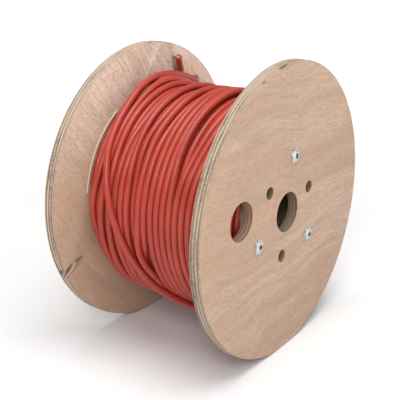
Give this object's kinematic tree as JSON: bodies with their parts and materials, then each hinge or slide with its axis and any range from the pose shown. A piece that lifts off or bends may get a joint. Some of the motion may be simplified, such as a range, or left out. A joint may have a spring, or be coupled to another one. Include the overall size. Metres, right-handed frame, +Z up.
{
  "type": "plywood cable drum",
  "caption": "Plywood cable drum: round flanges on a board barrel, held by tie bolts, full of round red cable whose end is laced through one flange.",
  "frame": {"origin": "centre of the arbor bore, midway between the two flanges", "axes": "+Y along the axle, from the near flange to the far flange with the cable's end; +Z up as the drum stands on its rims"},
  "size_m": [0.33, 0.2331, 0.33],
  "materials": {
    "plywood": "sanded rotary-cut plywood, seven plies at the edges",
    "barrel_board": "spiral-wound brown board",
    "zinc": "bright zinc plate",
    "cable_sheath": "red PVC with a soft gloss",
    "core_dark": "dark core insulation",
    "core_light": "light core insulation",
    "copper": "bare copper, sheared",
    "tinned_wire": "tinned drain wire",
    "string": "undyed cotton string"
  },
  "bodies": {
    "root": {"near_flange": "plywood", "far_flange": "plywood", "barrel_tube": "barrel_board", "tie_bolt_1": "zinc", "tie_bolt_2": "zinc", "tie_bolt_3": "zinc", "toothed_washer_1": "zinc", "toothed_washer_2": "zinc", "toothed_washer_3": "zinc", "tee_nut_1": "zinc", "tee_nut_2": "zinc", "tee_nut_3": "zinc", "cable_inner_layers": "cable_sheath", "cable_outer_layers": "cable_sheath", "cable_tail": "cable_sheath", "cable_end_sheath": "cable_sheath", "core_dark": "core_dark", "core_light": "core_light", "conductor_dark": "copper", "conductor_light": "copper", "drain_wire": "tinned_wire", "binding_string": "string"}
  },
  "joints": []
}
